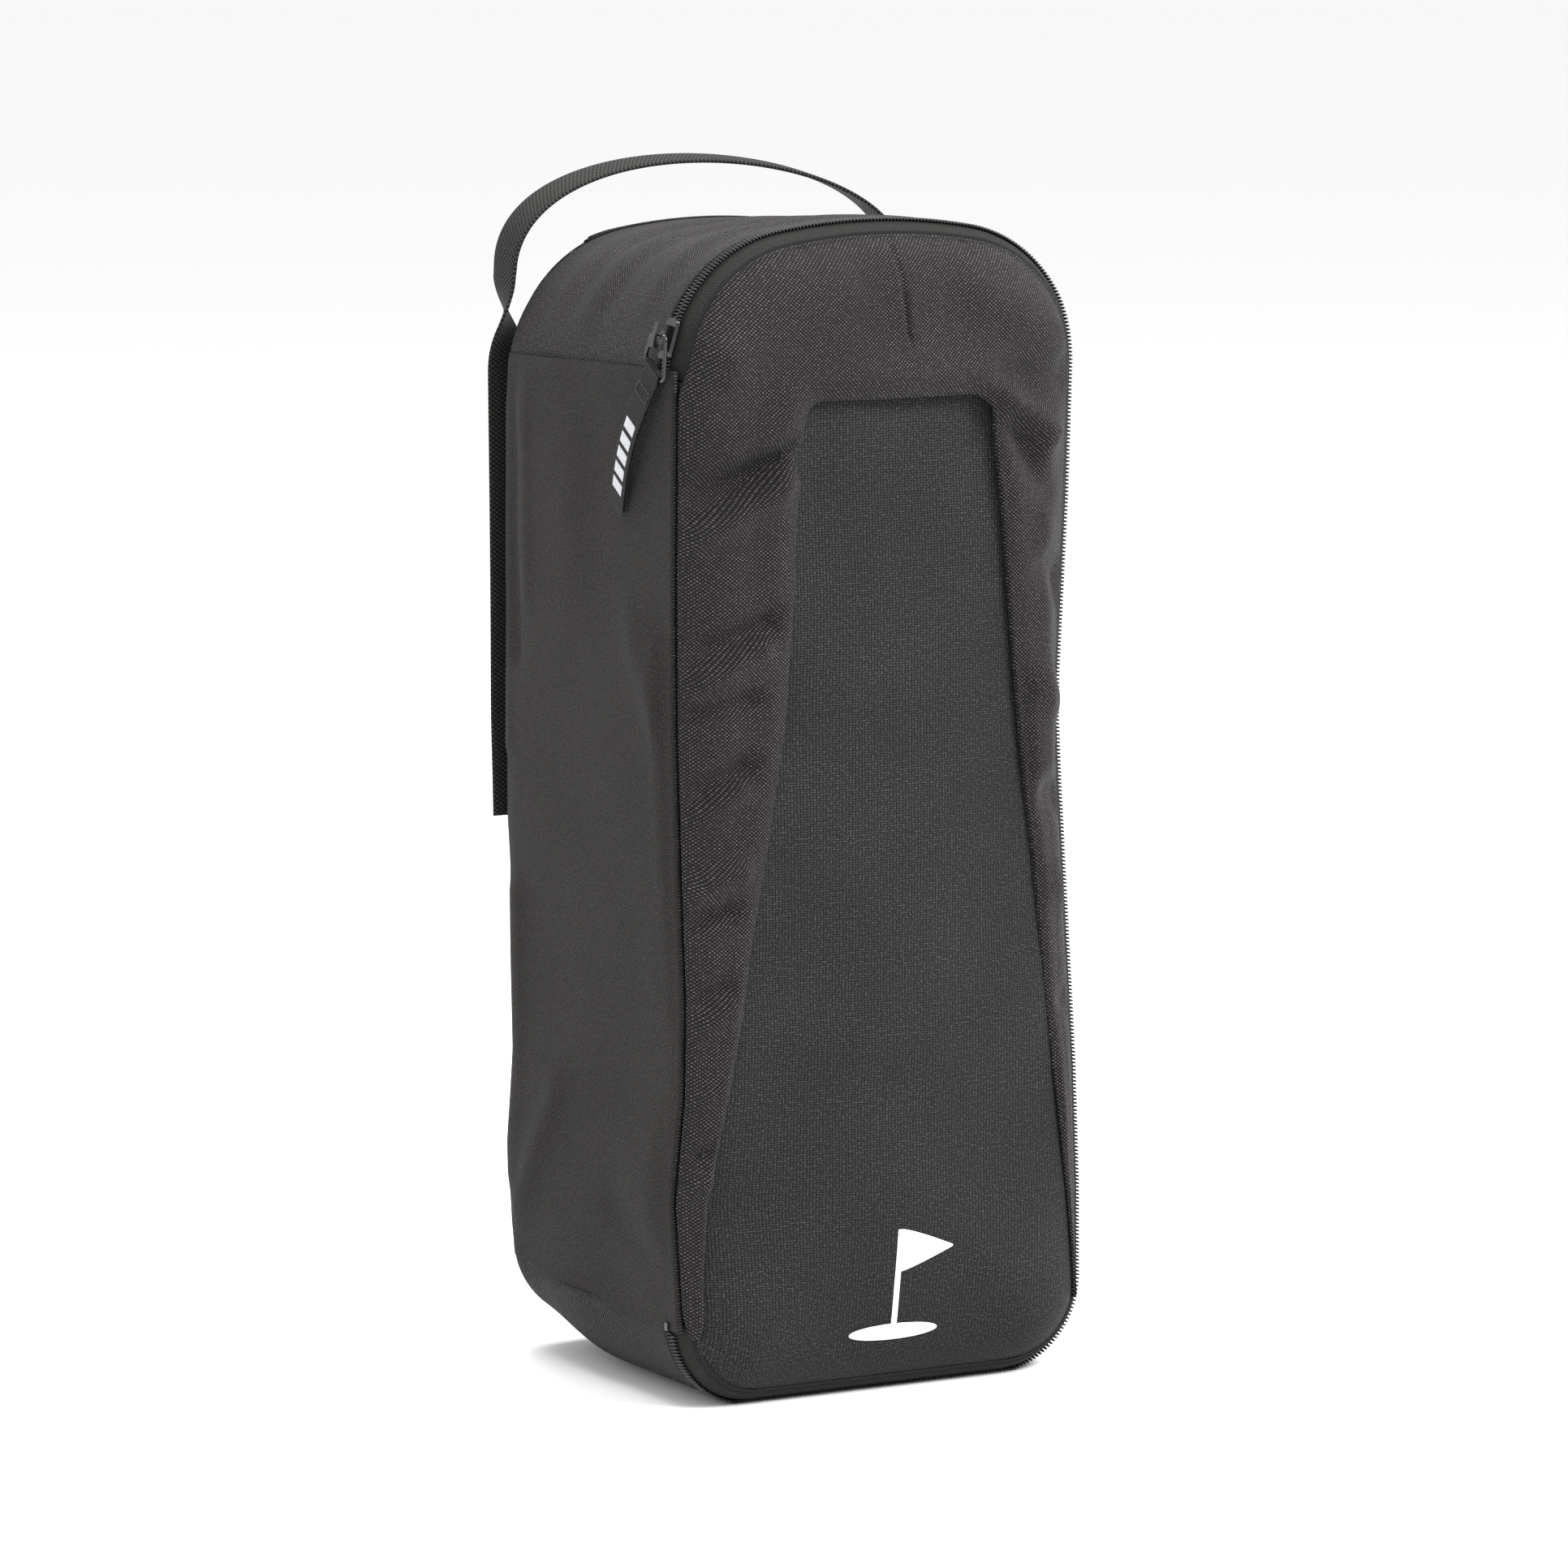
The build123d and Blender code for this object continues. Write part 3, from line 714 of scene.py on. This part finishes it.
def coil(name, side):
    """One row of coil turns; the two rows mesh, half a pitch apart."""
    path = zip_path(0.2, 0.3)
    s = lengths(path[:, :2])
    pitch = 1.2
    items = []
    for k in range(int((s[-1] - 4) / pitch)):
        here = 2.0 + (k + (0.5 if side > 0 else 0)) * pitch
        x, z, nx, nz = (np.interp(here, s, path[:, i]) for i in range(4))
        out = np.array([nx, 0, nz]) / math.hypot(nx, nz)
        along = np.array([out[2], 0, -out[0]])
        centre = warp(np.array([x, CHAIN_Y + side * 1.05, z])) + out * 0.15
        centre[2] = max(centre[2], 0.65)
        items.append((centre, np.array([0, 1.0, 0]), along, out, (2.7, 0.72, 1.25)))
    return blobs(name, items, COIL)


place(coil("zip_coil_door_side", -1), "door", "zip_coil_front", "zip_coil")
place(coil("zip_coil_bag_side", 1), "shell", "zip_coil_rear", "zip_coil")


# ---------------------------------------------------------------- print on the door
def printed(name, outline_rows):
    """A thin patch of ink that lies on the centre panel; outline_rows gives left and right x for each z."""
    zs, lefts, rights = (np.array(column, float) for column in zip(*outline_rows))
    t = np.linspace(0, 1, 14)
    x = lefts[:, None] * (1 - t) + rights[:, None] * t
    z = np.broadcast_to(zs[:, None], x.shape)
    points = warp(np.stack([x, FRONT_Y - centre_depth(x, z) - 0.22, z], 2))
    return grid(name, points, np.stack([x, z], 2), PRINT, 0.18)


MARK_X, MARK_Z = 0.0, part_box("emblem_print")[0][2] / MM
zs = np.linspace(MARK_Z, MARK_Z + 35, 40)
pole = printed("print_flag_pole", [(z, MARK_X - 1.0, MARK_X + 1.0) for z in zs])
flag_rows = []
for z in np.linspace(0, 14, 24):
    reach = 19 * (1 - abs(z - 7) / 7) ** 0.85
    flag_rows.append((MARK_Z + 21 + z, MARK_X + 0.9, MARK_X + 1.0 + reach))
pennant = printed("print_flag_pennant", flag_rows)
green_rows = []
for z in np.linspace(-2.6, 2.6, 16):
    half = 16 * math.sqrt(max(0.0, 1 - (z / 2.65) ** 2))
    green_rows.append((MARK_Z + 1.2 + z, MARK_X - half, MARK_X + half))
green = printed("print_green", green_rows)
for piece in (pole, pennant, green):
    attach(piece, "door")
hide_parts("emblem_print")

# ---------------------------------------------------------------- handle
WEB_W, WEB_T = 15.0, 1.5
LEG_X = 67.5
LEG_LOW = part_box("handle_leg_left")[0][2] / MM
SPLIT_Z = 322.0
TWIST_LOW, TWIST_HIGH = 318.0, 350.0
ARCH_Z, ARCH_SPAN, ARCH_RISE = 350.0, 71.5, 35.5
LEG_Y = BACK_Y + 4.6


def left_leg(z):
    """Centre and width direction of the webbing on the left at height z, from the sewn end up through its twist."""
    turn = float(smooth(z, TWIST_LOW, TWIST_HIGH))
    sway = 1.2 * math.sin((z - LEG_LOW) / 40.0)
    x = -LEG_X - (ARCH_SPAN - LEG_X) * turn - 2.2 * (1 - turn) + 0.25 * sway
    y = LEG_Y - 1.2 * turn - 1.8 * (1 - float(smooth(z, LEG_LOW - 5, LEG_LOW + 40)))
    angle = turn * math.pi / 2
    return (x, y, z), (math.cos(angle), math.sin(angle), 0)


def mirrored(pair):
    (x, y, z), (a, b, c) = pair
    return (-x, y, z), (-a, b, c)


arch = []
for a in np.linspace(math.pi, 0, 90)[1:-1]:
    x = ARCH_SPAN * math.cos(a) - 6.0 * math.sin(a) ** 2
    z = ARCH_Z + ARCH_RISE * math.sin(a) ** 0.9
    arch.append(((x, LEG_Y - 1.2 + 1.5 * math.sin(a), z), (0.12 * math.sin(2 * a), 1, 0.1 * math.sin(a))))
up = [left_leg(z) for z in np.arange(SPLIT_Z, ARCH_Z, 1.5)]
whole = up + arch + [mirrored(pair) for pair in up[::-1]]
handle = strap("handle_webbing_arch", [p for p, w in whole], [w for p, w in whole], WEB_W, WEB_T, WEBBING)
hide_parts("handle_arch")
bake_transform(handle)
for sign, name, node in ((1, "handle_webbing_left", "handle_leg_left"), (-1, "handle_webbing_right", "handle_leg_right")):
    pairs = [left_leg(z) for z in np.arange(LEG_LOW, SPLIT_Z + 1.0, 2.0)]
    if sign < 0:
        pairs = [mirrored(pair) for pair in pairs]
    leg = strap(name, [p for p, w in pairs], [w for p, w in pairs], WEB_W, WEB_T, WEBBING)
    place(leg, "shell", node, "webbing")


def stitch_line(start, end, out, width=0.5):
    """Stitches from start to end, lying on a surface that faces out."""
    start, end, out = (np.asarray(q, float) for q in (start, end, out))
    span = np.linalg.norm(end - start)
    along = (end - start) / span
    across = np.cross(out, along)
    count = max(1, int(span / 1.5))
    return [(start + along * span * (k + 0.5) / count, along, across, out, (1.3, width, width * 0.8)) for k in range(count)]


tacks = []
for sign in (-1, 1):
    for z in (LEG_LOW + 5, LEG_LOW + 15, 308, 317):
        (x, y, zz), w = left_leg(z)
        y += WEB_T / 2 + 0.1
        for dz in (-0.7, 0.0, 0.7):
            tacks += stitch_line((sign * (abs(x) - 6), y, z + dz), (sign * (abs(x) + 6), y, z + dz), (0, 1, 0))
place(blobs("handle_bartack_stitches", tacks, THREAD), "shell", "handle_bartacks", "thread")

# ---------------------------------------------------------------- pull
tab_joint = joint("tab_fold")
BAR = np.array(tab_joint["pos_m"]) / MM
ACROSS = np.array(tab_joint["axis"])
OUT = np.array([-1.0, 0, 0])
DOWN = np.cross(OUT, ACROSS)
DOWN = DOWN if DOWN[2] < 0 else -DOWN
TAB_W, TAB_T, TAB_L = 10.2, 0.55, 51.0
LAYER = 0.42  # from the ribbon's middle to each of its two layers


def tab_place(u, lift):
    """A point of the ribbon, u down from the bar and lift outward; it bows out and swings a little to plumb."""
    bend = (u / TAB_L) ** 2 if u > 0 else 0
    return BAR + DOWN * u + OUT * (lift + 2.4 * math.sin(max(u, 0) / TAB_L * math.pi)) - ACROSS * (2.2 * bend)


ribbon = [tab_place(u, LAYER) for u in np.linspace(TAB_L, 2.5, 34)]
ribbon += [tab_place(-1.25 * math.cos(a), 1.25 * math.sin(a)) for a in np.linspace(math.pi * 0.35, math.pi * -0.35, 11)]
ribbon += [tab_place(u, -LAYER) for u in np.linspace(2.5, TAB_L - 1.2, 34)]
tab = strap("ribbon_pull", ribbon, [ACROSS] * len(ribbon), TAB_W, TAB_T, RIBBON, around=20)
place(tab, "tab", "pull_tab", "ribbon")
box = [(6.5, -3.9), (6.5, 3.9), (10.0, 3.9), (10.0, -3.9)]
sewn = []
lift = LAYER + TAB_T / 2 + 0.12
for (u0, w0), (u1, w1) in zip(box, box[1:] + box[:1]):
    sewn += stitch_line(tab_place(u0, lift) + ACROSS * w0, tab_place(u1, lift) + ACROSS * w1, OUT, 0.4)
place(blobs("ribbon_stitches", sewn, THREAD), "tab", "pull_tab_stitches", "thread")
# A row of plain woven bars
verts, faces, places = [], [], []
for middle in (21, 26.5, 32, 37.5, 43):
    for u in np.linspace(middle - 1.9, middle + 1.9, 5):
        for w in np.linspace(-3.2, 3.2, 8):
            verts.append(tab_place(u, LAYER + TAB_T / 2 + 0.1) + ACROSS * w)
            places.append((w, u))
    faces += grid_faces(5, 8, start=len(verts) - 40)
bars = make_mesh("ribbon_woven_bars", verts, faces, places, YARN)
thick = bars.modifiers.new("thickness", "SOLIDIFY")
thick.thickness = 0.12 * MM
place(bars, "tab", "pull_tab_mark", "white_yarn")

# ---------------------------------------------------------------- carried-over metal
for node in ("slider_body", "slider_bridge", "pull_ring", "zip_end_stops"):
    metal = bpy.data.objects[node]
    for slot in metal.material_slots:
        slot.material = METAL

# ---------------------------------------------------------------- floor, light, camera
bpy.ops.mesh.primitive_plane_add(size=80, location=(0, 0, 0))
floor = bpy.context.object
floor.name = "studio_floor"
g = Graph("studio_floor")
floor.data.materials.append(g.finish((0.93, 0.93, 0.93), 0.9))

world = bpy.data.worlds.new("studio")
bpy.context.scene.world = world
world.use_nodes = True
world.node_tree.nodes["Background"].inputs[0].default_value = (1, 1, 1, 1)
world.node_tree.nodes["Background"].inputs[1].default_value = 1.0


def softbox(name, place, target, size, power):
    light = bpy.data.lights.new(name, "AREA")
    light.shape = "SQUARE"
    light.size = size
    light.energy = power
    obj = bpy.data.objects.new(name, light)
    obj.location = place
    obj.rotation_euler = (Vector(target) - Vector(place)).to_track_quat("-Z", "Y").to_euler()
    bpy.context.scene.collection.objects.link(obj)


softbox("key", (0.9, -1.3, 1.7), (0, 0, 0.2), 0.8, 62)
softbox("fill", (-1.8, -0.9, 1.0), (0, 0, 0.2), 1.2, 3)
softbox("top", (-0.2, 0.5, 1.9), (0, 0, 0.2), 0.9, 28)

camera = bpy.data.cameras.new("camera")
camera.lens = 170.08
camera.sensor_width = 36
camera.clip_end = 30
eye = bpy.data.objects.new("camera", camera)
eye.location = (-1.13673, -2.06584, 0.51888)
eye.rotation_euler = (math.radians(90 - 7.9975), 0, math.radians(-28.7608))
bpy.context.scene.collection.objects.link(eye)
bpy.context.scene.camera = eye
bpy.context.scene.view_settings.view_transform = "Standard"
